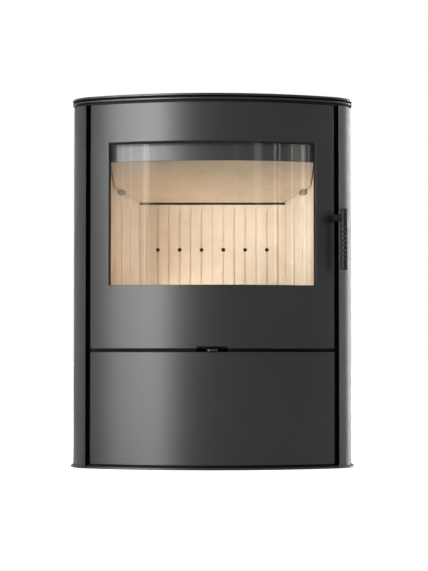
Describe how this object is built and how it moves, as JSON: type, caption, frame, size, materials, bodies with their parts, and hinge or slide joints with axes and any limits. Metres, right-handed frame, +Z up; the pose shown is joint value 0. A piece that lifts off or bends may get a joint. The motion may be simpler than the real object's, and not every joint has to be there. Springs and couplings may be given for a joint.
{
  "type": "steel wood stove",
  "caption": "Free-standing steel wood stove with a curved front, a large curved window in a side-hung fire door, a lower door, a pale lined firebox and a rear flue.",
  "frame": {"origin": "middle of the base plate's underside, on the floor", "axes": "+Z up, front with the doors towards -Y, +X to the viewer's right"},
  "size_m": [0.616, 0.446, 0.8],
  "materials": {
    "stove_paint": "satin anthracite heat paint",
    "black_paint": "matt black heat paint",
    "carcass_steel": "plain dark steel plate",
    "fire_brick": "pale pressed fire brick",
    "window_glass": "clear heat-proof glass ceramic",
    "cast_grate": "raw cast iron",
    "rope_seal": "braided glass-fibre cord and tape",
    "bright_steel": "plain steel",
    "bush_brass": "turned brass",
    "handle_black": "satin black"
  },
  "bodies": {
    "stove_body": {"base_plate": "stove_paint", "side_panel_left": "stove_paint", "side_panel_right": "stove_paint", "top_plate_lower": "stove_paint", "top_plate_upper": "stove_paint", "rear_panel": "stove_paint", "flue_collar": "stove_paint", "header": "stove_paint", "plinth": "black_paint", "top_support": "black_paint", "top_spacer": "black_paint", "jamb_left": "black_paint", "jamb_right": "black_paint", "hearth_rail": "black_paint", "mid_rail": "black_paint", "hinge_brackets": "black_paint", "magnet_catch": "black_paint", "carcass_side_left": "carcass_steel", "carcass_side_right": "carcass_steel", "carcass_back": "carcass_steel", "firebox_floor": "carcass_steel", "firebox_top": "carcass_steel", "ash_shelf": "carcass_steel", "air_shelf": "carcass_steel", "air_box": "carcass_steel", "air_gate": "carcass_steel", "air_inlet_pipe": "carcass_steel", "back_brick_left": "fire_brick", "back_brick_right": "fire_brick", "corner_bricks": "fire_brick", "side_bricks": "fire_brick", "hearth_bricks": "fire_brick", "baffle": "fire_brick", "grate": "cast_grate", "baffle_rests": "bright_steel", "rear_screws": "bright_steel", "hinge_pins": "bright_steel", "latch_keeper": "bright_steel"},
    "fire_door": {"fire_door_panel": "stove_paint", "glass": "window_glass", "glass_gasket": "rope_seal", "door_frame": "black_paint", "door_seal": "rope_seal", "glass_clips": "bright_steel", "glass_clip_screws": "bright_steel", "fire_door_hinge_blocks": "black_paint", "fire_door_hinge_bushes": "bush_brass", "handle_ears": "black_paint"},
    "door_handle": {"handle_bar": "handle_black", "handle_grip": "handle_black", "handle_arm": "handle_black", "handle_shaft": "bright_steel"},
    "lower_door": {"lower_door_panel": "stove_paint", "lower_door_stiffener": "black_paint", "catch_strike": "bright_steel", "lower_door_hinge_blocks": "black_paint", "lower_door_hinge_bushes": "bush_brass"},
    "air_control": {"air_slide": "carcass_steel", "air_lever": "handle_black"},
    "ash_tray": {"ash_pan": "carcass_steel"}
  },
  "joints": [
    {"name": "fire_door_hinge", "type": "hinge", "parent": "stove_body", "child": "fire_door", "pos_m": [-0.252, -0.13458, 0.52], "axis": [0, 0, -1], "range_deg": [0, 100]},
    {"name": "handle_turn", "type": "hinge", "parent": "fire_door", "child": "door_handle", "pos_m": [0.26, -0.12758, 0.5365], "axis": [-1, 0, 0], "range_deg": [0, 45]},
    {"name": "lower_door_hinge", "type": "hinge", "parent": "stove_body", "child": "lower_door", "pos_m": [-0.252, -0.13458, 0.13], "axis": [0, 0, -1], "range_deg": [0, 100]},
    {"name": "air_control_slide", "type": "slide", "parent": "stove_body", "child": "air_control", "axis": [1, 0, 0], "range_m": [-0.02, 0.02]},
    {"name": "ash_pan_slide", "type": "slide", "parent": "stove_body", "child": "ash_tray", "axis": [0, -1, 0], "range_m": [0, 0.06]}
  ]
}
